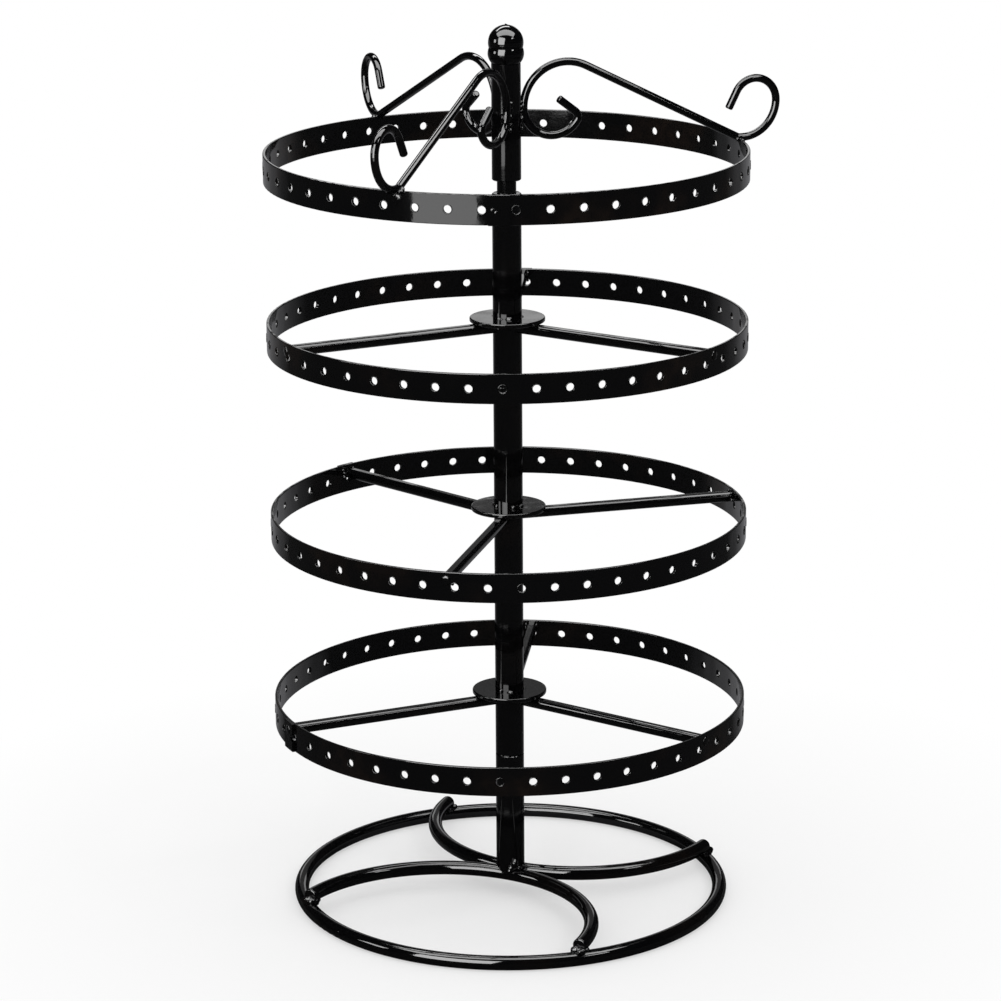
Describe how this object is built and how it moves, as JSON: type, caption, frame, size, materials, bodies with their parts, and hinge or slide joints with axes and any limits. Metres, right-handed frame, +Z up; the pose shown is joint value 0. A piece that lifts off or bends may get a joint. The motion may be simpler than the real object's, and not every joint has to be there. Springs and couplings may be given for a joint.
{
  "type": "rotating jewelry stand",
  "caption": "Tall turning earring stand: punched strip rings stacked on a central column, each turning by itself, with scrolled hanger arms on top and a wire hoop base.",
  "frame": {"origin": "centre of the base hoop on the surface that the stand rests on, which is also on the column's axis", "axes": "+Z up along the column; -Y towards the front of the picture, +X to its right"},
  "size_m": [0.1766, 0.1703, 0.3101],
  "materials": {
    "strip_lacquer": "gloss",
    "wire_lacquer": "gloss",
    "column_lacquer": "gloss"
  },
  "bodies": {
    "base": {"base_arc_back": "wire_lacquer", "base_arc_front": "wire_lacquer", "base_hoop": "wire_lacquer", "base_post": "column_lacquer", "centre_rod": "column_lacquer"},
    "tier_1": {"tier_1_band": "strip_lacquer", "tier_1_hub_disc": "column_lacquer", "tier_1_spoke_1": "wire_lacquer", "tier_1_spoke_2": "wire_lacquer", "tier_1_spoke_3": "wire_lacquer", "tier_1_tube": "column_lacquer"},
    "tier_2": {"tier_2_band": "strip_lacquer", "tier_2_hub_disc": "column_lacquer", "tier_2_spoke_1": "wire_lacquer", "tier_2_spoke_2": "wire_lacquer", "tier_2_spoke_3": "wire_lacquer", "tier_2_tube": "column_lacquer"},
    "tier_3": {"tier_3_band": "strip_lacquer", "tier_3_hub_disc": "column_lacquer", "tier_3_spoke_1": "wire_lacquer", "tier_3_spoke_2": "wire_lacquer", "tier_3_spoke_3": "wire_lacquer", "tier_3_tube": "column_lacquer"},
    "top": {"finial": "column_lacquer", "scroll_arm_back": "wire_lacquer", "scroll_arm_front": "wire_lacquer", "scroll_arm_right": "wire_lacquer", "top_band": "strip_lacquer", "top_sleeve": "column_lacquer"}
  },
  "joints": [
    {"name": "tier_1_turn", "type": "hinge", "parent": "base", "child": "tier_1", "pos_m": [0, 0, 0.1], "axis": [0, 0, 1], "continuous": true},
    {"name": "tier_2_turn", "type": "hinge", "parent": "base", "child": "tier_2", "pos_m": [0, 0, 0.1], "axis": [0, 0, 1], "continuous": true},
    {"name": "tier_3_turn", "type": "hinge", "parent": "base", "child": "tier_3", "pos_m": [0, 0, 0.1], "axis": [0, 0, 1], "continuous": true},
    {"name": "top_turn", "type": "hinge", "parent": "base", "child": "top", "pos_m": [0, 0, 0.1], "axis": [0, 0, 1], "continuous": true}
  ]
}
